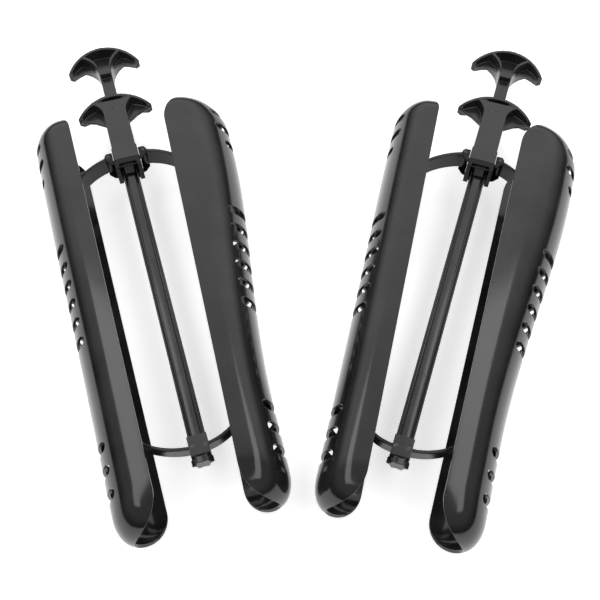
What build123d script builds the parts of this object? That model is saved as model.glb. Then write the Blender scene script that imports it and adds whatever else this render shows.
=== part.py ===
"""Pair of spring boot shapers lying side by side: +Y to the handles, +Z up, millimetres."""
import os
from math import cos, hypot, radians, sin, sqrt

from build123d import *

os.makedirs("parts", exist_ok=True)

# shells
HALF_DEPTH = 29.0        # from the mid-plane to the outer flank
WALL = 2.0
TOP = 34.0
BOTTOM = -267.0
EDGE_X = 31.5            # open edge of a shell beside the collar
SPLAY = 0.0333           # sideways shift of that edge per mm along the unit
FLAT_SHARE = 0.3         # flat part of the flank, as a share of the width
WAIST = {"shin": 28.0, "calf": 28.5}     # width of a shell at its narrow lower end
SWELL = {"shin": 1.5, "calf": 15.3}      # what it gains towards the top
SWELL_START = -205.0
SWELL_LENGTH = 200.0
MIDDLE_SECTIONS = 11
END_ANGLES = (0, 12, 26, 42, 58, 74)
SKIN_LIFT = 0.05         # the loft stands this proud of the flanks before they are cut flat
TOP_BACK = (0.6, 0.5)    # length and depth of the rounding of the back, as shares of the width
BOTTOM_BACK = (0.6, 0.4)
TOP_DEPTH = (12.0, 10.0)     # length and depth of the rounding of the flanks, in mm
BOTTOM_DEPTH = (26.0, 20.0)
OPEN_CORNER = {"shin": 12.0, "calf": 24.0}
MOUTH_CORNER = 22.0
SLOT_HEIGHT = 6.0
SLOT_PITCH = 14.0
SLOT_GROUPS = (          # first slot's height along the unit, half length of each slot
    (17.0, (21, 21, 16)),
    (-72.0, (23,) * 6),
    (-211.5, (22,) * 3),
)

# rod, drawn along its own axis
ROD_HALF = 5.4
RIB_HALF = 2.6
ROD_FRONT = 5.5
ROD_END = -214.0
STEM_HALF = 4.6
STEM_START = 38.0
STEM_TOP = 92.0

# handles
GRIP_HALF = 27.6
GRIP_DEPTH = 10.0
CAP = 2.4
PALM_TIP = 97.0
PALM_PEAK = 111.5
FINGER_TIP = 50.0
WEB_ROOT = 40.0
FINGER_PEAK = 61.0
SLEEVE_HALF = 8.5
SLEEVE_DEPTH = 9.0
SHOULDER_HALF = 9.1
SHOULDER_TOP = 11.0
BORE_GAP = 0.35

# collar, hub and bows
LEG_OUT = 9.3
LEG_END = -7.5
COLLAR_DEPTH = 8.9
TONGUE_HALF = 3.4
TONGUE_END = -13.0
FORK_DEPTH = 8.3
COLLAR_PIN = (12.5, 5.0)
HUB_PIN = (3.6, -220.5)
HUB_HALF = 6.0
HUB_DEPTH = 7.4
HUB_BASE = -226.5
TIP_END = -230.5
STAR_R = 6.8
STAR_VALLEY = 4.8
UPPER_PIN = {"shin": (45.0, -28.0), "calf": (45.0, -24.0)}
LOWER_PIN = {"shin": (38.0, -199.5), "calf": (38.0, -198.0)}
BOW_THICK = 2.2
UPPER_BOW_HALF = 7.0
LOWER_BOW_HALF = 5.6
UPPER_BULGE = 6.5
LOWER_BULGE = 5.5
PIN_R = 2.0
SMALL_PIN_R = 1.3
FIT = 0.05
LOWER_EYE_GAP = 1.2
EAR_IN = 8.4
EAR_OUT = 11.4

# placing of the two units: x, y, turn of the unit, rod offset, lean of the rod in the unit, and how
# far inward and along the unit the bent bows hold each shell
UNITS = (
    ("left", -123.7, 110.4, 15.66, 0.5, 1.2, {"shin": (0.0, 0.5), "calf": (-1.0, 0.5)}),
    ("right", 121.8, 109.6, -15.06, 7.4, -3.2, {"shin": (1.8, 0.0), "calf": (2.2, -2.0)}),
)
ROW_X = -3.427
ROW_Y = -29.256


def block(x0, x1, y0, y1, z0, z1):
    return Pos((x0 + x1) / 2, (y0 + y1) / 2, (z0 + z1) / 2) * Box(x1 - x0, y1 - y0, z1 - z0)


def rod_z(x, y, r, half):
    """Round bar along Z."""
    return Pos(x, y, 0) * Cylinder(r, 2 * half)


def plate(points, half):
    """Polygon in the XY plane, thickened both ways."""
    return extrude(make_face(Polyline(*points, close=True)), amount=half, both=True)


def edge_x(y):
    return EDGE_X + SPLAY * y


def shell_width(part, y):
    t = min(max((y - SWELL_START) / SWELL_LENGTH, 0), 1)
    return WAIST[part] + SWELL[part] * t * t * (3 - 2 * t)


def corner_z(x, y, r, sx, sy):
    """What a round corner at (x, y) takes away, all along Z."""
    box = block(min(x - sx * r, x + sx * 9), max(x - sx * r, x + sx * 9),
                min(y - sy * r, y + sy * 9), max(y - sy * r, y + sy * 9), -40, 40)
    return box - rod_z(x - sx * r, y - sy * r, r, 41)


def pull_in(distance, length, depth):
    """How far a rounded end pulls a face in, at some distance from that end."""
    t = max(1 - distance / length, 0)
    return depth * (1 - sqrt(1 - t * t))


def shell_section(part, y, w):
    """D-shaped section of a shell, w inside its outer skin; w > 0 reaches past the open edge."""
    x_edge = edge_x(y)
    full = shell_width(part, y)
    from_top = TOP - w - y
    from_bottom = y - BOTTOM - w
    back = pull_in(from_top, TOP_BACK[0] * full - w, TOP_BACK[1] * full - w)
    back += pull_in(from_bottom, BOTTOM_BACK[0] * full - w, BOTTOM_BACK[1] * full - w)
    thin = pull_in(from_top, TOP_DEPTH[0] - w, TOP_DEPTH[1] - w)
    thin += pull_in(from_bottom, BOTTOM_DEPTH[0] - w, BOTTOM_DEPTH[1] - w)
    x_back = x_edge + full - w - back
    x_flat = x_edge + FLAT_SHARE * (x_back + w - x_edge)
    x_open = x_edge - 12 if w else x_edge
    h = HALF_DEPTH - w - thin + SKIN_LIFT
    bottom = Line((x_open, -h), (x_flat, -h))
    around = EllipticalCenterArc((x_flat, 0), x_back - x_flat, h, start_angle=-90, arc_size=180)
    top = Line((x_flat, h), (x_open, h))
    side = Line((x_open, h), (x_open, -h))
    plane = Plane(origin=(0, y, 0), x_dir=(1, 0, 0), z_dir=(0, 1, 0))
    return plane * make_face(Curve() + [bottom, around, top, side])


def shell_body(part, w):
    """Closed body of a shell, drawn w inside its outer skin, with flat flanks."""
    y_top, y_bottom = TOP - w, BOTTOM + w
    top_length = TOP_BACK[0] * shell_width(part, TOP) - w
    bottom_length = BOTTOM_DEPTH[0] - w
    heights = [y_top - top_length * (1 - cos(radians(a))) for a in END_ANGLES]
    first, last = y_top - top_length, y_bottom + bottom_length
    heights += [first + (last - first) * i / MIDDLE_SECTIONS for i in range(MIDDLE_SECTIONS + 1)]
    heights += [y_bottom + bottom_length * (1 - cos(radians(a))) for a in reversed(END_ANGLES)]
    body = loft([shell_section(part, y, w) for y in heights])
    return body & block(0, 90, BOTTOM - 9, TOP + 9, w - HALF_DEPTH, HALF_DEPTH - w)


def shell(part):
    wall = shell_body(part, 0) - shell_body(part, WALL)
    wall -= corner_z(edge_x(TOP), TOP, OPEN_CORNER[part], -1, 1)
    wall -= corner_z(edge_x(BOTTOM), BOTTOM, MOUTH_CORNER, -1, -1)
    for first, halves in SLOT_GROUPS:
        for i, half in enumerate(halves):
            y = first - i * SLOT_PITCH
            x = edge_x(y) + FLAT_SHARE * shell_width(part, y) + 3
            plane = Plane(origin=(x, y, 0), x_dir=(0, 0, 1), z_dir=(1, 0, 0))
            wall -= extrude(plane * SlotOverall(2 * half, SLOT_HEIGHT), amount=50)
    return wall


def bracket(part, pin):
    """Forked ear inside a shell that carries the end of a bow."""
    x, y = pin
    wall_x = edge_x(y) + shell_width(part, y)
    ear = plate([(x, y - 5), (wall_x, y - 8), (wall_x, y + 8), (x, y + 5)], EAR_OUT)
    ear += rod_z(x, y, 5, EAR_OUT)
    ear -= block(x - 6, x + 6.5, y - 9, y + 9, -EAR_IN, EAR_IN)
    ear -= block(x, wall_x, y + 4, y + 9, -EAR_IN, EAR_IN)
    ear -= block(x, wall_x, y - 9, y - 4, -EAR_IN, EAR_IN)
    ear -= rod_z(x, y, PIN_R, 20)
    return ear & shell_body(part, WALL)


def cap(tip, peak, half, depth):
    """Arched oval plate of a handle."""
    outer = make_face([ThreePointArc((-half, tip), (0, peak), (half, tip)), Line((half, tip), (-half, tip))])
    inner_half = half - CAP
    inner = make_face([ThreePointArc((-inner_half, tip - 1), (0, peak - CAP), (inner_half, tip - 1)),
                       Line((inner_half, tip - 1), (-inner_half, tip - 1))])
    arch = extrude(outer, amount=depth, both=True) - extrude(inner, amount=depth + 1, both=True)
    oval = Plane(origin=(0, tip - 5, 0), x_dir=(1, 0, 0), z_dir=(0, 1, 0)) * Ellipse(half + 1.2, depth)
    return arch & extrude(oval, amount=peak - tip + 10)


def under_cap(tip, peak, half):
    """Space under an arched cap, as a face."""
    inner_half = half - CAP / 2
    return make_face([ThreePointArc((-inner_half, tip), (0, peak - CAP / 2), (inner_half, tip)),
                      Line((inner_half, tip), (-inner_half, tip))])


def flare(neck, neck_y, spread, spread_y):
    """Trumpet outline between a neck and a wider top, as a face."""
    right = ThreePointArc((neck, neck_y), (neck + 0.28 * (spread - neck), neck_y + 0.66 * (spread_y - neck_y)),
                          (spread, spread_y))
    left = ThreePointArc((-spread, spread_y), (-neck - 0.28 * (spread - neck),
                         neck_y + 0.66 * (spread_y - neck_y)), (-neck, neck_y))
    return make_face([right, Line((spread, spread_y), (-spread, spread_y)), left,
                      Line((-neck, neck_y), (neck, neck_y))])


def rod_bar(half, rib, front, rail, drop, y0, y1):
    """Moulded bar: flat web, raised middle rib on both faces, rail along each side."""
    bar = block(-half, half, y0, y1, -1.3, 1.3)
    bar += block(-rib, rib, y0, y1, -front, front)
    for side in (-1, 1):
        x0, x1 = sorted((side * half, side * (half - rail)))
        bar += block(x0, x1, y0, y1, drop - front, front - drop)
    return bar


def push_rod():
    rod = rod_bar(ROD_HALF, RIB_HALF, ROD_FRONT, 1.2, 1.6, ROD_END, STEM_START)
    rod += rod_bar(STEM_HALF, 3.1, 4.6, 0.9, 0.3, STEM_START, STEM_TOP)
    wings = extrude(under_cap(PALM_TIP, PALM_PEAK, GRIP_HALF), amount=1.3, both=True)
    for side in (-1, 1):
        wings -= rod_z(side * 14, PALM_TIP - 9, 11, 20)
    trumpet = flare(STEM_HALF, 84, 20, 108) & under_cap(70, PALM_PEAK, GRIP_HALF)
    ribs = extrude(trumpet, amount=GRIP_DEPTH - 1, both=True)
    pocket = Pos(0, 0, 1.3) * extrude(flare(4.4, 89.5, 18, 109), amount=20)
    ribs -= pocket
    ribs -= mirror(pocket, about=Plane.XY)
    rod += cap(PALM_TIP, PALM_PEAK, GRIP_HALF, GRIP_DEPTH) + wings + ribs
    for y in (-88, -172):
        for side in (-1, 1):
            rod -= Pos(0, y, side * ROD_FRONT) * (Cylinder(1.7, 0.4) - Cylinder(1.3, 0.4))
    return rod


def finger_grip():
    web = plate([(-GRIP_HALF + 1, FINGER_TIP), (-16, FINGER_TIP - 4.5), (-SLEEVE_HALF, WEB_ROOT),
                 (SLEEVE_HALF, WEB_ROOT), (16, FINGER_TIP - 4.5), (GRIP_HALF - 1, FINGER_TIP)], 1.3)
    web += extrude(under_cap(FINGER_TIP, FINGER_PEAK, GRIP_HALF), amount=1.3, both=True)
    neck = extrude(flare(SLEEVE_HALF, 42, 16, 57) & under_cap(30, FINGER_PEAK, GRIP_HALF),
                   amount=SLEEVE_DEPTH, both=True)
    grip = cap(FINGER_TIP, FINGER_PEAK, GRIP_HALF, GRIP_DEPTH + 0.5) + web + neck
    grip += block(-SLEEVE_HALF, SLEEVE_HALF, 0, 46, -SLEEVE_DEPTH, SLEEVE_DEPTH)
    grip += block(-SHOULDER_HALF, SHOULDER_HALF, 0, SHOULDER_TOP, -SLEEVE_DEPTH, SLEEVE_DEPTH)
    bore = block(-ROD_HALF - BORE_GAP, ROD_HALF + BORE_GAP, -1, 45, -ROD_FRONT - BORE_GAP, ROD_FRONT + BORE_GAP)
    bore += block(-STEM_HALF - BORE_GAP, STEM_HALF + BORE_GAP, 44, 66, -4.6 - BORE_GAP, 4.6 + BORE_GAP)
    grip -= bore
    arch = block(-4.6, 4.6, SHOULDER_TOP + 3, 44, -0.5, 0.5) + Pos(0, 44, 0) * Cylinder(4.6, 1)
    core = block(-3.9, 3.9, SHOULDER_TOP + 2, 44, -0.6, 0.6) + Pos(0, 44, 0) * Cylinder(3.9, 1.2)
    for side in (-1, 1):
        grip -= Pos(0, 0, side * SLEEVE_DEPTH) * (arch - core)
    return grip


def upper_collar():
    d = COLLAR_DEPTH
    collar = block(-LEG_OUT, LEG_OUT, -4, 0, -d, d)
    for side in (-1, 1):
        x0, x1 = sorted((side * 6.1, side * LEG_OUT))
        collar += block(x0, x1, LEG_END, -3, -d, d)
        x, y = side * COLLAR_PIN[0], COLLAR_PIN[1]
        fork = plate([(side * 7, -3), (side * 11.5, -2), (side * 15, y - 3), (side * 15, y + 1),
                      (side * 13.5, y + 3), (side * 9.4, y + 3), (side * 9.4, 0), (side * 7, 0)], FORK_DEPTH)
        x0, x1 = sorted((x - side * 3.2, x + side * 4))
        fork -= block(x0, x1, y - 9, y + 5, -UPPER_BOW_HALF - 0.3, UPPER_BOW_HALF + 0.3)
        fork -= rod_z(x, y, SMALL_PIN_R, 20)
        collar += fork
    collar -= block(-6.1, 6.1, LEG_END - 1, 1, -ROD_FRONT - BORE_GAP, ROD_FRONT + BORE_GAP)
    for side in (-1, 1):
        z0, z1 = sorted((side * (ROD_FRONT + BORE_GAP + 0.2), side * (d - 0.9)))
        collar += block(-6.3, 6.3, -6.4, -5.0, z0, z1)
        tongue_top = side * (d - 1.4)
        z0, z1 = sorted((side * (ROD_FRONT + BORE_GAP + 0.2), tongue_top))
        collar += block(-TONGUE_HALF, TONGUE_HALF, TONGUE_END, -4.0, z0, z1)
    return collar


def lower_hub():
    hub = block(-HUB_HALF, HUB_HALF, HUB_BASE, ROD_END, -HUB_DEPTH, HUB_DEPTH)
    star = [((STAR_VALLEY if i % 2 else STAR_R) * cos(radians(30 * i)),
             (STAR_VALLEY if i % 2 else STAR_R) * sin(radians(30 * i))) for i in range(12)]
    face = Plane(origin=(0, TIP_END, 0), x_dir=(1, 0, 0), z_dir=(0, 1, 0)) * make_face(Polyline(*star, close=True))
    hub += extrude(face, amount=HUB_BASE - TIP_END)
    for side in (-1, 1):
        x, y = side * HUB_PIN[0], HUB_PIN[1]
        x0, x1 = sorted((side * 0.9, side * 9))
        hub -= block(x0, x1, y - 3.2, y + 3.6, -LOWER_BOW_HALF - 0.3, LOWER_BOW_HALF + 0.3)
        hub -= rod_z(x, y, SMALL_PIN_R, 20)
    return hub


def bow(inner, outer, bulge, half, inner_r, inner_hole, outer_r, outer_hole):
    """Springy strip from its hinge at the rod to its hinge in a shell."""
    dx, dy = outer[0] - inner[0], outer[1] - inner[1]
    length = hypot(dx, dy)
    nx, ny = -dy / length, dx / length
    middle = ((inner[0] + outer[0]) / 2 + bulge * nx, (inner[1] + outer[1]) / 2 + bulge * ny)
    path = ThreePointArc(inner, middle, outer)
    strip = extrude(trace(path, BOW_THICK), amount=half, both=True)
    tab_path = ThreePointArc(path @ 0.66, path @ 0.82, path @ 0.98)
    tab = extrude(trace(tab_path, BOW_THICK + 1.4), amount=half, both=True)
    arm = strip + tab + rod_z(*inner, inner_r, half) + rod_z(*outer, outer_r, half)
    return arm - rod_z(*inner, inner_hole, 20) - rod_z(*outer, outer_hole, 20)


def shell_set(part, mirrored):
    """Shell with its two brackets, on the side where it belongs."""
    pieces = {
        "shell": shell(part),
        "upper": bracket(part, UPPER_PIN[part]),
        "lower": bracket(part, LOWER_PIN[part]),
    }
    if mirrored:
        pieces = {key: mirror(piece, about=Plane.YZ) for key, piece in pieces.items()}
    return pieces


ON_ROD = {
    "push_rod": push_rod(),
    "finger_grip": finger_grip(),
    "upper_collar": upper_collar(),
    "lower_hub": lower_hub(),
}
SHELLS = {"shin": shell_set("shin", True), "calf": shell_set("calf", False)}


def unit(name, x, y, turn, rod_x, lean, play):
    """All pieces of one shaper, named and placed in the row."""
    place = Pos(x + ROW_X, y + ROW_Y, HALF_DEPTH) * Rot(0, 0, turn)
    on_rod = Pos(rod_x, 0, 0) * Rot(0, 0, lean)
    pieces = {key: on_rod * piece for key, piece in ON_ROD.items()}
    for side, part in ((-1, "shin"), (1, "calf")):
        inward, along = play[part]
        in_shell = Pos(-side * inward, along, 0)
        pieces[part + "_shell"] = in_shell * SHELLS[part]["shell"]
        for level, hinge, pin, reach, half, eye in (
            ("upper", COLLAR_PIN, UPPER_PIN[part], FORK_DEPTH, UPPER_BOW_HALF, 2.9),
            ("lower", HUB_PIN, LOWER_PIN[part], HUB_DEPTH, LOWER_BOW_HALF, 2.4),
        ):
            root = on_rod * Pos(side * hinge[0], hinge[1], 0)
            start = (root.position.X, root.position.Y)
            end = (side * (pin[0] - inward), pin[1] + along)
            bulge = side * (UPPER_BULGE if level == "upper" else -LOWER_BULGE)
            loose = FIT if level == "upper" else LOWER_EYE_GAP
            arm = bow(start, end, bulge, half, eye, SMALL_PIN_R + FIT, 4.8, PIN_R + loose)
            pieces[f"{level}_bow_{part}"] = arm
            pieces[f"{level}_bracket_{part}"] = in_shell * SHELLS[part][level]
            pieces[f"{level}_shell_pin_{part}"] = rod_z(*end, PIN_R, EAR_OUT)
            root_name = "collar" if level == "upper" else "hub"
            pieces[f"{root_name}_pin_{part}"] = rod_z(*start, SMALL_PIN_R, reach)
    return {f"{name}_{key}": place * piece for key, piece in pieces.items()}


for spec in UNITS:
    for key, piece in unit(*spec).items():
        piece.label = key
        export_step(piece, f"parts/{key}.step")
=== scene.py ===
"""Looks for the pair of spring boot shapers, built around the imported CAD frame.

Lengths in the builder functions are millimetres in a shaper's own plane: +y to the handles,
+x to the calf shell, z = 0 half-way between the flanks. A unit's matrix takes them to the row frame.
"""

from math import acos, asin, atan2, cos, hypot, pi, radians, sin, sqrt

import bmesh
import bpy
from mathutils import Matrix, Vector
from mathutils.geometry import delaunay_2d_cdt


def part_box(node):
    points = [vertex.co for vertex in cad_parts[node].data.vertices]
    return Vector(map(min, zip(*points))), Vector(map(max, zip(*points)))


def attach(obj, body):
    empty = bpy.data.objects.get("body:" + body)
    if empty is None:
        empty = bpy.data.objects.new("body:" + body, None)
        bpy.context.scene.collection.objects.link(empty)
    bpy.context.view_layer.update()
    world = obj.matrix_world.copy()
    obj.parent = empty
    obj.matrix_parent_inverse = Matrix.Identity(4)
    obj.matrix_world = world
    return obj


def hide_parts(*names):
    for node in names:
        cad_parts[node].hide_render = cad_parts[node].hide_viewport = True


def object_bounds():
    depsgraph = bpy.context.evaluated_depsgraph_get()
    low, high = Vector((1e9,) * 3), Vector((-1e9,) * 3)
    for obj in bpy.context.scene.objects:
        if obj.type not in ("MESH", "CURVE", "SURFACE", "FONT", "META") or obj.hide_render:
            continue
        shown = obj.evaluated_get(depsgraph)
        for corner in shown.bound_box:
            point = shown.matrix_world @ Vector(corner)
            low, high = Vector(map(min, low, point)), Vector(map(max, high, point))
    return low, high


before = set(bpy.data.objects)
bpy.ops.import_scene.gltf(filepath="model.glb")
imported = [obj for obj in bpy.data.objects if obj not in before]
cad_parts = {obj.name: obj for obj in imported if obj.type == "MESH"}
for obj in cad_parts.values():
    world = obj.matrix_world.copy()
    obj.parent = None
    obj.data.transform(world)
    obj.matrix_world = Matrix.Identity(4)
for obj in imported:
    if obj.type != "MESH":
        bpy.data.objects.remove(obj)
cad_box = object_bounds()
MM = 0.001

# shells
HALF_DEPTH = 29.0
WALL = 2.0
TOP = 34.0
BOTTOM = -267.0
EDGE_X = 31.5
SPLAY = 0.0333
FLAT_SHARE = 0.3
WAIST = {"shin": 28.0, "calf": 28.5}
SWELL = {"shin": 1.5, "calf": 15.3}
SWELL_START = -205.0
SWELL_LENGTH = 200.0
TOP_BACK = (0.6, 0.5)
BOTTOM_BACK = (0.6, 0.4)
TOP_DEPTH = (12.0, 10.0)
BOTTOM_DEPTH = (26.0, 20.0)
OPEN_CORNER = {"shin": 12.0, "calf": 24.0}
MOUTH_CORNER = 22.0
SLOT_R = 3.0
SLOT_PITCH = 14.0
SLOT_GROUPS = ((17.0, (21, 21, 16)), (-72.0, (23,) * 6), (-211.5, (22,) * 3))
RIM_BEVEL = 0.35
CROWN = 0.25             # share of a full ellipse in the skin, so that the flanks fade into the back
INSIDE_BOX = 0.03        # keeps the pieces just inside the CAD box
WELD = 0.003
FLAT_U = 20.0            # share of a section's 100 units that lies on each flat flank
BACK_U = 30.0            # units from a flank's end to the middle of the back
TOP_ARC = 24.0           # length of the rounded top and bottom ends along the unit
BOTTOM_ARC = 26.0
OUTLINE_STEP = 1.6       # spacing of points on the rounded ends and on the straight open edge
EDGE_STEP = 3.0
SLOT_END_STEPS = 8
SLOT_SIDE_STEP = 2.5
GRID_STEP = (2.5, 3.2)   # spacing of the skin's inner points, in u and v
GRID_GAP = 1.1           # an inner point stays this far from every outline
SLOT_REACH = 9.0         # only outlines this near in v can hold a point

# rod
ROD_HALF = 5.4
RIB_HALF = 2.6
WEB_HALF = 1.3
RAIL_IN = 4.2
ROD_FRONT = 5.5
RAIL_FRONT = 3.9
ROD_END = -214.0
ROD_TOP = 31.0           # where the bar meets the handle, inside the sleeve
ROD_CORNER = 0.3
ROD_CHAMFER = 0.2
EJECTOR_MARKS = (-88.0, -172.0)
MARK_R = 1.5
MARK_TUBE = 0.12

# voxel size and smoothing passes of the softened mouldings
PALM_VOXEL = (0.32, 1)
BOW_VOXEL = (0.4, 2)
SHARP_ANGLE = 35

# materials: noise scales in features per metre, and the height of the bump in metres
FLOW_SCALE = 55.0
CLOUD_SCALE = 38.0
SCRATCH_SCALE = 900.0
DUST_SCALE = 1500.0
BUMP_HEIGHT = 0.00006
TURNING_SCALE = 3000.0
RUB_SCALE = 700.0
HAIRLINE_STRETCH = (1.0, 0.03, 1.0)
HAIRLINE_GLOSS = 0.12    # what a hairline and a speck of dust add to the roughness
DUST_GLOSS = 0.25
GRAIN_DEPTH = 0.12       # share of the bump height
HAIRLINE_DEPTH = 0.25

# camera and studio light: name, place, size and radiance of each softbox
CAMERA_AIM = (-0.003427, -0.029256, 0.0)
CAMERA_ELEVATION = 61.0
CAMERA_DISTANCE = 0.522
CAMERA_LENS = 48.0
SKY_BACK = (0.18, 0.55, 0.45, 1.35)      # direction's y from, to, and the sky's radiance there
SKY_HEIGHT = (0.12, 0.5, 0.08, 1.0)      # direction's z from, to, and the share of that radiance
FLOOR_GLOW = 0.55
SOFTBOXES = (
    ("left_softbox", (-0.56, -0.15, 1.2), (0.5, 1.5), 2.5),
    ("right_softbox", (0.56, -0.15, 1.2), (0.5, 1.5), 2.5),
)

# hinges in a shaper's plane
COLLAR_PIN = (12.5, 5.0)
UPPER_PIN = {"shin": (-45.0, -28.0), "calf": (45.0, -24.0)}
LOWER_PIN = {"shin": (-38.0, -199.5), "calf": (38.0, -198.0)}


def pin_centre(node):
    low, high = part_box(node)
    return (Vector(low) + Vector(high)) / 2


def plane_from_pins(near_node, far_node, near, far):
    """Matrix from a shaper's plane to the row frame, from two pins and their places in the plane."""
    start, end = pin_centre(near_node), pin_centre(far_node)
    across = end - start
    turn = atan2(across.y, across.x) - atan2(far[1] - near[1], far[0] - near[0])
    rotation = Matrix.Rotation(turn, 4, "Z")
    origin = start - rotation @ Vector((near[0], near[1], 0)) * MM
    return Matrix.Translation(origin) @ rotation @ Matrix.Scale(MM, 4)


def new_object(name, mesh, material, body, slot, *nodes):
    obj = bpy.data.objects.new(name, mesh)
    bpy.context.scene.collection.objects.link(obj)
    obj.data.materials.append(material)
    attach(obj, body)
    if nodes:
        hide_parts(*nodes)
    return obj


# ---------------------------------------------------------------- shells
def edge_x(y):
    return EDGE_X + SPLAY * y


def shell_width(part, y):
    t = min(max((y - SWELL_START) / SWELL_LENGTH, 0), 1)
    return WAIST[part] + SWELL[part] * t * t * (3 - 2 * t)


def pull_in(distance, length, depth):
    """How far a rounded end pulls a face in, at some distance from that end."""
    t = min(max(1 - distance / length, 0), 1)
    return depth * (1 - sqrt(1 - t * t))


def section(part, y):
    """Open edge, end of the flat, back and half depth of the outer skin at a height."""
    full = shell_width(part, y)
    x_edge = edge_x(y)
    from_top, from_bottom = TOP - y, y - BOTTOM
    back = pull_in(from_top, TOP_BACK[0] * full, TOP_BACK[1] * full)
    back += pull_in(from_bottom, BOTTOM_BACK[0] * full, BOTTOM_BACK[1] * full)
    thin = pull_in(from_top, *TOP_DEPTH) + pull_in(from_bottom, *BOTTOM_DEPTH)
    x_back = x_edge + full - back
    x_flat = x_edge + FLAT_SHARE * (x_back - x_edge)
    return x_edge, x_flat, x_back - INSIDE_BOX, HALF_DEPTH - thin - INSIDE_BOX


def height_of(v):
    """Height y of a domain point: v runs along the arc of the rounded ends."""
    if v > TOP - TOP_ARC:
        return TOP - TOP_ARC + TOP_ARC * sin(min((v - TOP + TOP_ARC) / TOP_ARC, pi / 2))
    if v < BOTTOM + BOTTOM_ARC:
        turn = min((BOTTOM + BOTTOM_ARC - v) / BOTTOM_ARC, pi / 2)
        return BOTTOM + BOTTOM_ARC - BOTTOM_ARC * sin(turn)
    return v


def v_of(y):
    if y > TOP - TOP_ARC:
        return TOP - TOP_ARC + TOP_ARC * asin(min((y - TOP + TOP_ARC) / TOP_ARC, 1))
    if y < BOTTOM + BOTTOM_ARC:
        return BOTTOM + BOTTOM_ARC - BOTTOM_ARC * asin(min((BOTTOM + BOTTOM_ARC - y) / BOTTOM_ARC, 1))
    return y


def skin_point(part, u, v):
    """Point of the outer skin; u runs from one open edge (0) round the back (50) to the other (100)."""
    y = height_of(v)
    x_edge, x_flat, x_back, h = section(part, y)
    side = 1 if u <= 50 else -1
    across = min(u, 100 - u)
    x, z = x_edge + (x_flat - x_edge) * across / FLAT_U, h
    if across >= FLAT_U:
        angle = abs(50 - u) / BACK_U * pi / 2
        x, z = x_flat + (x_back - x_flat) * cos(angle), h * sin(angle)
    rounder = h * sqrt(max(1 - ((x - x_edge) / (x_back - x_edge)) ** 2, 0))
    return Vector((x, y, side * (z + CROWN * (rounder - z))))


def skin_normal(part, u, v):
    d = 0.4
    du = skin_point(part, min(u + d, 100), v) - skin_point(part, max(u - d, 0), v)
    v0, v1 = max(v - d, v_of(BOTTOM)), min(v + d, v_of(TOP))
    dv = skin_point(part, u, v1) - skin_point(part, u, v0)
    return du.cross(dv).normalized()


def u_at(part, x, y):
    """Domain u, on the near side, where the section at height y reaches x."""
    x_edge, x_flat, x_back, _ = section(part, y)
    if x <= x_flat:
        return FLAT_U * max(x - x_edge, 0) / (x_flat - x_edge)
    c = min((x - x_flat) / (x_back - x_flat), 1)
    return 50 - BACK_U * acos(c) / (pi / 2)


def end_curve(part, at_top):
    """Near half of the rounded end of the outline, from the open edge to the middle of the back."""
    r = OPEN_CORNER[part] if at_top else MOUTH_CORNER
    end, way = (TOP, 1) if at_top else (BOTTOM, -1)
    points = []
    for i in range(361):
        turn = radians(i / 4)
        y = end - way * r + way * r * sin(turn)
        x = edge_x(y) + r - r * cos(turn)
        u = u_at(part, x, y)
        points.append((u, v_of(y)))
        if u >= 50:
            break
    if points[-1][0] < 50:
        points.append((50.0, v_of(end)))
    return points


def resample(points, step, closed=False):
    """Even points along a polyline."""
    if closed:
        points = points + [points[0]]
    lengths = [hypot(b[0] - a[0], b[1] - a[1]) for a, b in zip(points, points[1:])]
    total = sum(lengths)
    count = max(int(round(total / step)), 2)
    result, i, gone = [], 0, 0.0
    for k in range(count if closed else count + 1):
        target = total * k / count
        while i < len(lengths) - 1 and gone + lengths[i] < target:
            gone += lengths[i]
            i += 1
        t = (target - gone) / lengths[i] if lengths[i] else 0
        a, b = points[i], points[i + 1]
        result.append((a[0] + (b[0] - a[0]) * t, a[1] + (b[1] - a[1]) * t))
    return result


def outline(part):
    """Closed outline of the unrolled shell, anticlockwise."""
    top, bottom = end_curve(part, True), end_curve(part, False)
    bottom_part = resample(bottom, OUTLINE_STEP)
    top_part = resample(top, OUTLINE_STEP)
    edge = resample([top_part[0], bottom_part[0]], EDGE_STEP)[1:-1]
    near = list(reversed(top_part)) + edge + bottom_part
    far = [(100 - u, v) for u, v in reversed(near)]
    return near[:-1] + far[:-1]


def slot_loops(part):
    """Outlines of the vent slots in the unrolled shell."""
    loops = []
    for first, halves in SLOT_GROUPS:
        for i, half in enumerate(halves):
            y0 = first - i * SLOT_PITCH
            loop = []
            straight = half - SLOT_R
            for k in range(SLOT_END_STEPS + 1):
                turn = pi * k / SLOT_END_STEPS - pi / 2
                loop.append((straight + SLOT_R * cos(turn), y0 + SLOT_R * sin(turn)))
            steps = max(int(2 * straight / SLOT_SIDE_STEP), 2)
            loop += [(straight - 2 * straight * k / steps, y0 + SLOT_R) for k in range(1, steps)]
            loop += [(-z, 2 * y0 - y) for z, y in loop]
            points = []
            for z, y in loop:
                h = section(part, y)[3]
                points.append((50 - BACK_U * asin(z / h) / (pi / 2), v_of(y)))
            loops.append(points)
    return loops


def loop_inward(loop, sign):
    """Unit directions from each loop point into the material."""
    result = []
    for i in range(len(loop)):
        a, b = loop[i - 1], loop[(i + 1) % len(loop)]
        dx, dy = b[0] - a[0], b[1] - a[1]
        length = hypot(dx, dy)
        result.append((-sign * dy / length, sign * dx / length))
    return result


def signed_area(loop):
    return sum(a[0] * b[1] - b[0] * a[1] for a, b in zip(loop, loop[1:] + loop[:1])) / 2


def inside(point, loop):
    x, y = point
    odd = False
    for a, b in zip(loop, loop[1:] + loop[:1]):
        if (a[1] > y) != (b[1] > y) and x < (b[0] - a[0]) * (y - a[1]) / (b[1] - a[1]) + a[0]:
            odd = not odd
    return odd


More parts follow.
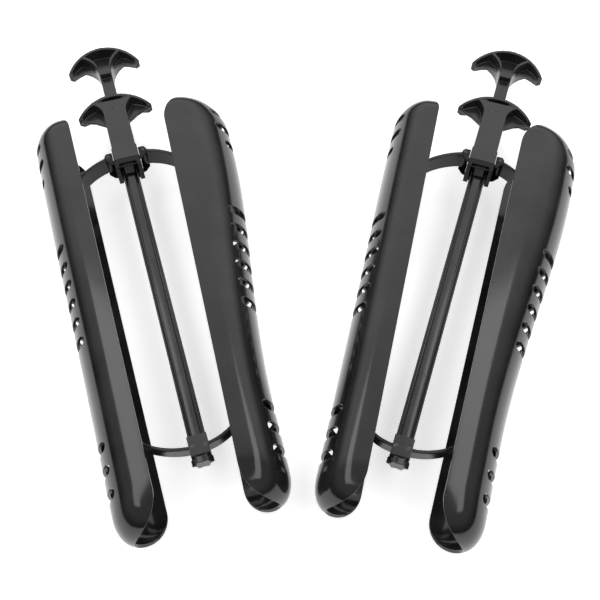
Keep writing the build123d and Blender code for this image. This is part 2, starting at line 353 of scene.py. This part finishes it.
def shell_mesh(part, name):
    """Moulded half-pipe with vent slots and slightly rounded rims, as one closed mesh."""
    border = outline(part)
    loops = [border] + slot_loops(part)
    loops = [loop if signed_area(loop) > 0 else list(reversed(loop)) for loop in loops]
    inwards = [loop_inward(loop, 1 if i == 0 else -1) for i, loop in enumerate(loops)]
    b = RIM_BEVEL
    inner_loops = [[(p[0] + b * n[0], p[1] + b * n[1]) for p, n in zip(loop, way)]
                   for loop, way in zip(loops, inwards)]
    points, edges = [], []
    for loop in inner_loops:
        first = len(points)
        points += loop
        edges += [(first + i, first + (i + 1) % len(loop)) for i in range(len(loop))]
    cells = {}
    for u, v in points:
        cells.setdefault((int(u // 2), int(v // 2)), []).append((u, v))

    def far_enough(u, v):
        for i in range(-1, 2):
            for j in range(-1, 2):
                for a in cells.get((int(u // 2) + i, int(v // 2) + j), ()):
                    if hypot(a[0] - u, a[1] - v) < GRID_GAP:
                        return False
        return True

    def in_slot(u, v):
        near = (loop for loop in inner_loops[1:] if abs(v - loop[0][1]) < SLOT_REACH)
        return any(inside((u, v), loop) for loop in near)

    low, high = v_of(BOTTOM), v_of(TOP)
    rows = int((high - low) / GRID_STEP[1])
    columns = int(100 / GRID_STEP[0])
    for j in range(rows + 1):
        v = low + (high - low) * j / rows
        for i in range(columns + 1):
            u = GRID_STEP[0] * i
            if not far_enough(u, v) or not inside((u, v), inner_loops[0]):
                continue
            if in_slot(u, v):
                continue
            points.append((u, v))
    result = delaunay_2d_cdt([Vector(p) for p in points], edges, [], 0, 1e-5)
    flat_points, triangles, origin = result[0], result[2], result[3]
    kept = []
    for tri in triangles:
        cu = sum(flat_points[k][0] for k in tri) / 3
        cv = sum(flat_points[k][1] for k in tri) / 3
        if not inside((cu, cv), inner_loops[0]):
            continue
        if in_slot(cu, cv):
            continue
        kept.append(tri)
    index_of = {}
    for new, olds in enumerate(origin):
        for old in olds:
            index_of[old] = new
    outer, normals = [], []
    for u, v in flat_points:
        outer.append(skin_point(part, u, v))
        normals.append(skin_normal(part, u, v))
    count = len(outer)
    verts = list(outer) + [p - n * WALL for p, n in zip(outer, normals)]
    vert_normals = list(normals) + [-n for n in normals]
    faces = [tuple(tri) for tri in kept]
    faces += [tuple(count + k for k in reversed(tri)) for tri in kept]
    start = 0
    profile = ((0.3 * b, 0.3 * b, 0.5), (0, b, 1.0), (0, WALL - b, 1.0), (0.3 * b, WALL - 0.3 * b, 0.5))
    for loop, way in zip(loops, inwards):
        rings = [[index_of[start + i] for i in range(len(loop))]]
        for ring, (inset, depth, tilt) in enumerate(profile):
            ids = []
            for (u, v), (du, dv) in zip(loop, way):
                n = skin_normal(part, u, v)
                here = skin_point(part, u + inset * du, v + inset * dv)
                beyond = here - skin_point(part, u + (inset + 0.5) * du, v + (inset + 0.5) * dv)
                out = beyond.normalized()
                ids.append(len(verts))
                verts.append(here - n * depth)
                face_way = n if ring < 2 else -n
                vert_normals.append((face_way * (1 - tilt) + out * tilt).normalized())
            rings.append(ids)
        rings.append([count + index_of[start + i] for i in range(len(loop))])
        for r0, r1 in zip(rings, rings[1:]):
            for i in range(len(loop)):
                j = (i + 1) % len(loop)
                faces.append((r0[i], r1[i], r1[j], r0[j]))
        start += len(loop)
    if part == "shin":
        verts = [Vector((-p.x, p.y, p.z)) for p in verts]
        vert_normals = [Vector((-n.x, n.y, n.z)) for n in vert_normals]
    mesh = bpy.data.meshes.new(name)
    mesh.from_pydata([tuple(p) for p in verts], [], faces)
    mesh.validate()
    bm = bmesh.new()
    bm.from_mesh(mesh)
    bmesh.ops.recalc_face_normals(bm, faces=bm.faces)
    bm.to_mesh(mesh)
    bm.free()
    for polygon in mesh.polygons:
        polygon.use_smooth = True
    mesh.normals_split_custom_set_from_vertices([tuple(n) for n in vert_normals])
    return mesh


# ---------------------------------------------------------------- rod, handles and bows
def smooth_by_angle(mesh, degrees_limit):
    for polygon in mesh.polygons:
        polygon.use_smooth = True
    mesh.set_sharp_from_angle(angle=radians(degrees_limit))


def softened(name, node, plane, voxel, passes, keep=None):
    """Copy of a CAD node with moulded, rounded edges, as a mesh in the row frame."""
    bm = bmesh.new()
    bm.from_mesh(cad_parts[node].data)
    bm.transform(plane.inverted())
    bmesh.ops.remove_doubles(bm, verts=bm.verts, dist=WELD)
    if keep is not None:
        point, way = keep
        geometry = bm.verts[:] + bm.edges[:] + bm.faces[:]
        cut = bmesh.ops.bisect_plane(bm, geom=geometry, plane_co=point, plane_no=way, clear_inner=True)
        rim = [e for e in cut["geom_cut"] if isinstance(e, bmesh.types.BMEdge)]
        bmesh.ops.holes_fill(bm, edges=rim, sides=0)
    mesh = bpy.data.meshes.new(name)
    bm.to_mesh(mesh)
    bm.free()
    work = bpy.data.objects.new(name + "_work", mesh)
    bpy.context.scene.collection.objects.link(work)
    remesh = work.modifiers.new("remesh", "REMESH")
    remesh.mode = "VOXEL"
    remesh.voxel_size = voxel
    soften = work.modifiers.new("soften", "SMOOTH")
    soften.factor = 0.5
    soften.iterations = passes
    ready = bpy.data.meshes.new_from_object(work.evaluated_get(bpy.context.evaluated_depsgraph_get()))
    bpy.data.objects.remove(work)
    bpy.data.meshes.remove(mesh)
    ready.name = name
    ready.transform(plane)
    for polygon in ready.polygons:
        polygon.use_smooth = True
    return ready


def rounded_polygon(points, r, steps=3):
    """Closed outline with its corners rounded by small arcs; r is a number for each point."""
    result = []
    for i, p in enumerate(points):
        p, a, b = Vector(p), Vector(points[i - 1]), Vector(points[(i + 1) % len(points)])
        to_a, to_b = (a - p).normalized(), (b - p).normalized()
        half = to_a.angle(to_b) / 2
        back = r / max(sin(half) / cos(half), 1e-6)
        centre = p + (to_a + to_b).normalized() * (r / sin(half))
        start, end = p + to_a * back - centre, p + to_b * back - centre
        for k in range(steps + 1):
            direction = start.lerp(end, k / steps).normalized()
            result.append(tuple(centre + direction * r))
    return result


def prism_mesh(name, outline_xz, y0, y1, end_inset):
    """Bar of constant section along y, with slightly chamfered ends."""
    bm = bmesh.new()
    rings = []
    for y, shrink in ((y0, end_inset), (y0 + end_inset, 0), (y1 - end_inset, 0), (y1, end_inset)):
        ring = []
        for x, z in outline_xz:
            p = Vector((x, z))
            p -= p.normalized() * shrink
            ring.append(bm.verts.new((p.x, y, p.y)))
        rings.append(ring)
    for a, b in zip(rings, rings[1:]):
        for i in range(len(a)):
            j = (i + 1) % len(a)
            bm.faces.new((a[i], a[j], b[j], b[i]))
    bm.faces.new(rings[0])
    bm.faces.new(list(reversed(rings[-1])))
    bmesh.ops.recalc_face_normals(bm, faces=bm.faces)
    mesh = bpy.data.meshes.new(name)
    bm.to_mesh(mesh)
    bm.free()
    return mesh


def ring_into(bm, centre, radius, tube, steps=20):
    """Fine raised ring lying in a plane of constant z."""
    rows = []
    for i in range(steps):
        turn = 2 * pi * i / steps
        row = []
        for k in range(6):
            around = 2 * pi * k / 6
            r = radius + tube * cos(around)
            row.append(bm.verts.new((centre[0] + r * cos(turn), centre[1] + r * sin(turn),
                                     centre[2] + tube * sin(around))))
        rows.append(row)
    for i in range(steps):
        a, b = rows[i], rows[(i + 1) % steps]
        for k in range(6):
            m = (k + 1) % 6
            bm.faces.new((a[k], b[k], b[m], a[m]))


def rod_mesh(name):
    """Bar of the push rod: middle rib, web and two rails, with the rings that ejector pins leave."""
    quarter = [(RIB_HALF, ROD_FRONT), (RIB_HALF, WEB_HALF), (RAIL_IN, WEB_HALF), (RAIL_IN, RAIL_FRONT),
               (ROD_HALF, RAIL_FRONT)]
    right = quarter + [(x, -z) for x, z in reversed(quarter)]
    loop = right + [(-x, z) for x, z in reversed(right)]
    loop = [(x - (INSIDE_BOX if x > 0 else -INSIDE_BOX), z) for x, z in loop]
    mesh = prism_mesh(name, rounded_polygon(loop, ROD_CORNER), ROD_END - 0.5, ROD_TOP, ROD_CHAMFER)
    bm = bmesh.new()
    bm.from_mesh(mesh)
    for y in EJECTOR_MARKS:
        for z in (ROD_FRONT, -ROD_FRONT):
            ring_into(bm, (0, y, z), MARK_R, MARK_TUBE)
    bmesh.ops.recalc_face_normals(bm, faces=bm.faces)
    bm.to_mesh(mesh)
    bm.free()
    return mesh


# ---------------------------------------------------------------- materials
def add_node(tree, kind, **inputs):
    node = tree.nodes.new(kind)
    for key, value in inputs.items():
        node.inputs[key.replace("_", " ")].default_value = value
    return node


def noise(tree, place, scale, detail=3.0):
    node = add_node(tree, "ShaderNodeTexNoise", Scale=scale, Detail=detail)
    tree.links.new(place, node.inputs["Vector"])
    return node.outputs["Fac"]


def remap(tree, value, from_low, from_high, low, high):
    node = tree.nodes.new("ShaderNodeMapRange")
    for i, number in enumerate((from_low, from_high, low, high), start=1):
        node.inputs[i].default_value = number
    tree.links.new(value, node.inputs[0])
    return node.outputs[0]


def combine(tree, operation, a, b):
    node = tree.nodes.new("ShaderNodeMath")
    node.operation = operation
    tree.links.new(a, node.inputs[0])
    tree.links.new(b, node.inputs[1])
    return node.outputs[0]


def stretched(tree, place, scale, turn):
    """Coordinates drawn out along one direction, for scratches and flow lines."""
    node = tree.nodes.new("ShaderNodeMapping")
    node.inputs["Rotation"].default_value = (0, 0, radians(turn))
    node.inputs["Scale"].default_value = scale
    tree.links.new(place, node.inputs["Vector"])
    return node.outputs["Vector"]


def moulded_plastic(name, dark, light, roughness, grain, flow, dust, specular):
    """Black moulded plastic: flow marks, fine grain, hairline scratches and a trace of dust."""
    material = bpy.data.materials.new(name)
    material.use_nodes = True
    tree = material.node_tree
    shader = tree.nodes["Principled BSDF"]
    shader.inputs["Specular IOR Level"].default_value = specular
    place = tree.nodes.new("ShaderNodeTexCoord").outputs["Object"]
    flow_marks = noise(tree, stretched(tree, place, (1.0, 0.25, 1.0), 15), FLOW_SCALE, 4.0)
    clouds = noise(tree, place, CLOUD_SCALE, 5.0)
    grain_noise = noise(tree, place, grain, 2.0)
    scratches = noise(tree, stretched(tree, place, HAIRLINE_STRETCH, 28), SCRATCH_SCALE, 2.0)
    crossing = noise(tree, stretched(tree, place, HAIRLINE_STRETCH, -61), SCRATCH_SCALE, 2.0)
    hairlines = combine(tree, "MAXIMUM", remap(tree, scratches, 0.70, 0.76, 0, 1),
                        remap(tree, crossing, 0.71, 0.77, 0, 1))
    specks = remap(tree, noise(tree, place, DUST_SCALE, 1.0), 0.71, 0.77, 0, dust)
    tint = combine(tree, "MAXIMUM", remap(tree, clouds, 0.35, 0.7, 0, 0.5), specks)
    colour = tree.nodes.new("ShaderNodeMix")
    colour.data_type = "RGBA"
    colour.inputs["A"].default_value = (*dark, 1)
    colour.inputs["B"].default_value = (*light, 1)
    tree.links.new(tint, colour.inputs["Factor"])
    tree.links.new(colour.outputs["Result"], shader.inputs["Base Color"])
    gloss = combine(tree, "ADD", remap(tree, clouds, 0.3, 0.7, roughness * 0.85, roughness * 1.2),
                    remap(tree, hairlines, 0, 1, 0, HAIRLINE_GLOSS))
    gloss = combine(tree, "ADD", gloss, remap(tree, specks, 0, 1, 0, DUST_GLOSS))
    tree.links.new(gloss, shader.inputs["Roughness"])
    relief = combine(tree, "ADD", remap(tree, flow_marks, 0, 1, 0, flow),
                     remap(tree, grain_noise, 0, 1, 0, GRAIN_DEPTH))
    relief = combine(tree, "SUBTRACT", relief, remap(tree, hairlines, 0, 1, 0, HAIRLINE_DEPTH))
    bump = add_node(tree, "ShaderNodeBump", Strength=0.35, Distance=BUMP_HEIGHT)
    tree.links.new(relief, bump.inputs["Height"])
    tree.links.new(bump.outputs["Normal"], shader.inputs["Normal"])
    return material


def blackened_steel():
    """Pins: dark metal with turning marks round the pin and small bright rubs."""
    material = bpy.data.materials.new("pin_steel")
    material.use_nodes = True
    tree = material.node_tree
    shader = tree.nodes["Principled BSDF"]
    shader.inputs["Metallic"].default_value = 1.0
    place = tree.nodes.new("ShaderNodeTexCoord").outputs["Object"]
    turning = noise(tree, stretched(tree, place, (0.1, 0.1, 1.0), 0), TURNING_SCALE, 2.0)
    rubs = remap(tree, noise(tree, place, RUB_SCALE, 3.0), 0.55, 0.7, 0, 1)
    colour = tree.nodes.new("ShaderNodeMix")
    colour.data_type = "RGBA"
    colour.inputs["A"].default_value = (0.06, 0.06, 0.063, 1)
    colour.inputs["B"].default_value = (0.22, 0.21, 0.2, 1)
    tree.links.new(rubs, colour.inputs["Factor"])
    tree.links.new(colour.outputs["Result"], shader.inputs["Base Color"])
    tree.links.new(remap(tree, turning, 0.3, 0.7, 0.28, 0.45), shader.inputs["Roughness"])
    bump = add_node(tree, "ShaderNodeBump", Strength=0.3, Distance=BUMP_HEIGHT)
    tree.links.new(turning, bump.inputs["Height"])
    tree.links.new(bump.outputs["Normal"], shader.inputs["Normal"])
    return material


def floor_paper():
    material = bpy.data.materials.new("floor_paper")
    material.use_nodes = True
    tree = material.node_tree
    shader = tree.nodes["Principled BSDF"]
    shader.inputs["Roughness"].default_value = 0.9
    shader.inputs["Base Color"].default_value = (0.95, 0.95, 0.95, 1)
    shader.inputs["Emission Color"].default_value = (1, 1, 1, 1)
    shader.inputs["Emission Strength"].default_value = FLOOR_GLOW
    place = tree.nodes.new("ShaderNodeTexCoord").outputs["Object"]
    bump = add_node(tree, "ShaderNodeBump", Strength=0.05, Distance=0.0005)
    tree.links.new(noise(tree, place, 900.0), bump.inputs["Height"])
    tree.links.new(bump.outputs["Normal"], shader.inputs["Normal"])
    return material


# dark and light colour, roughness, grain scale, flow marks, dust and specular level
shell_plastic = moulded_plastic(
    "shell_plastic", (0.008, 0.008, 0.009), (0.026, 0.026, 0.028), 0.13, 2600.0, 0.5, 0.8, 0.5)
grip_plastic = moulded_plastic(
    "grip_plastic", (0.012, 0.012, 0.013), (0.034, 0.034, 0.036), 0.2, 1900.0, 0.4, 0.8, 0.5)
# painted shade: the collar's plastic is a darker, less reflective copy of the grip plastic, because the
# collar sits in shade below the sleeve
collar_plastic = moulded_plastic(
    "collar_plastic", (0.004, 0.004, 0.004), (0.016, 0.016, 0.016), 0.3, 1600.0, 0.3, 0.4, 0.2)
bow_plastic = moulded_plastic(
    "bow_plastic", (0.007, 0.007, 0.008), (0.022, 0.022, 0.024), 0.24, 2100.0, 0.3, 0.4, 0.35)
pin_steel = blackened_steel()

# softened CAD mouldings: piece, node, voxel and smoothing passes, material, body and slot
MOULDINGS = (
    ("finger_handle", "finger_grip", 0.36, 1, grip_plastic, "slider_body", "grip_plastic"),
    ("bow_collar", "upper_collar", 0.35, 1, collar_plastic, "slider_body", "collar_plastic"),
    ("star_hub", "lower_hub", 0.35, 1, grip_plastic, "rod_body", "grip_plastic"),
)


# ---------------------------------------------------------------- camera, light, floor
def look_at(obj, target):
    obj.rotation_euler = (Vector(target) - obj.location).to_track_quat("-Z", "Y").to_euler()


def add_camera():
    aim = (Vector(cad_box[0]) + Vector(cad_box[1])) / 2 + Vector(CAMERA_AIM)
    elevation = radians(CAMERA_ELEVATION)
    camera = bpy.data.objects.new("camera", bpy.data.cameras.new("camera"))
    bpy.context.scene.collection.objects.link(camera)
    camera.data.lens = CAMERA_LENS
    camera.data.sensor_width = 36.0
    camera.data.clip_start = 0.01
    camera.location = aim + Vector((0, -cos(elevation), sin(elevation))) * CAMERA_DISTANCE
    look_at(camera, aim)
    bpy.context.scene.camera = camera


def add_softbox(name, place, size, radiance):
    """Level rectangle of light facing straight down."""
    data = bpy.data.lights.new(name, "AREA")
    data.shape = "RECTANGLE"
    data.size, data.size_y = size
    data.energy = radiance * pi * size[0] * size[1]
    light = bpy.data.objects.new(name, data)
    bpy.context.scene.collection.objects.link(light)
    light.location = place


def add_floor():
    mesh = bpy.data.meshes.new("floor")
    mesh.from_pydata([(-3, -3, 0), (3, -3, 0), (3, 3, 0), (-3, 3, 0)], [], [(0, 1, 2, 3)])
    floor = bpy.data.objects.new("floor", mesh)
    bpy.context.scene.collection.objects.link(floor)
    floor.data.materials.append(floor_paper())


def add_world():
    """Studio sky: bright overhead and behind, dark near the horizon, and white to the camera."""
    world = bpy.data.worlds.new("studio")
    bpy.context.scene.world = world
    world.use_nodes = True
    tree = world.node_tree
    background = tree.nodes["Background"]
    background.inputs["Color"].default_value = (1, 1, 1, 1)
    direction = tree.nodes.new("ShaderNodeSeparateXYZ")
    tree.links.new(tree.nodes.new("ShaderNodeTexCoord").outputs["Generated"], direction.inputs["Vector"])
    towards_back = remap(tree, direction.outputs["Y"], *SKY_BACK)
    height = remap(tree, direction.outputs["Z"], *SKY_HEIGHT)
    sky = combine(tree, "MULTIPLY", towards_back, height)
    seen = tree.nodes.new("ShaderNodeLightPath").outputs["Is Camera Ray"]
    tree.links.new(combine(tree, "MAXIMUM", sky, seen), background.inputs["Strength"])


add_camera()
add_floor()
add_world()
for box in SOFTBOXES:
    add_softbox(*box)
bpy.context.scene.view_settings.view_transform = "Standard"

# ---------------------------------------------------------------- the two shapers
for side in ("left", "right"):
    for part in ("shin", "calf"):
        name = f"{side}_{part}_half_shell"
        plane = plane_from_pins(f"{side}_upper_shell_pin_{part}", f"{side}_lower_shell_pin_{part}",
                                UPPER_PIN[part], LOWER_PIN[part])
        mesh = shell_mesh(part, name)
        mesh.transform(plane)
        node = f"{side}_{part}_shell"
        new_object(name, mesh, shell_plastic, f"{node}_body", "shell_plastic", node)
        for level in ("upper", "lower"):
            node = f"{side}_{level}_bow_{part}"
            mesh = softened(f"{node}_strip", node, plane, *BOW_VOXEL)
            new_object(mesh.name, mesh, bow_plastic, f"{node}_body", "bow_plastic", node)
    rod_plane = plane_from_pins(f"{side}_collar_pin_shin", f"{side}_collar_pin_calf",
                                (-COLLAR_PIN[0], COLLAR_PIN[1]), COLLAR_PIN)
    mesh = rod_mesh(f"{side}_rod_bar")
    mesh.transform(rod_plane)
    smooth_by_angle(mesh, SHARP_ANGLE)
    new_object(mesh.name, mesh, grip_plastic, f"{side}_rod_body", "grip_plastic", f"{side}_push_rod")
    above_bar = ((0, ROD_TOP - 1, 0), (0, 1, 0))
    palm = softened(f"{side}_palm_handle", f"{side}_push_rod", rod_plane, *PALM_VOXEL, above_bar)
    new_object(palm.name, palm, grip_plastic, f"{side}_rod_body", "grip_plastic", f"{side}_push_rod")
    for name, node, voxel, passes, material, body, slot in MOULDINGS:
        mesh = softened(f"{side}_{name}", f"{side}_{node}", rod_plane, voxel, passes)
        new_object(mesh.name, mesh, material, f"{side}_{body}", slot, f"{side}_{node}")

for name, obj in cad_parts.items():
    if "_bracket_" in name:
        obj.material_slots[0].material = shell_plastic
    if "_pin_" in name:
        obj.material_slots[0].material = pin_steel
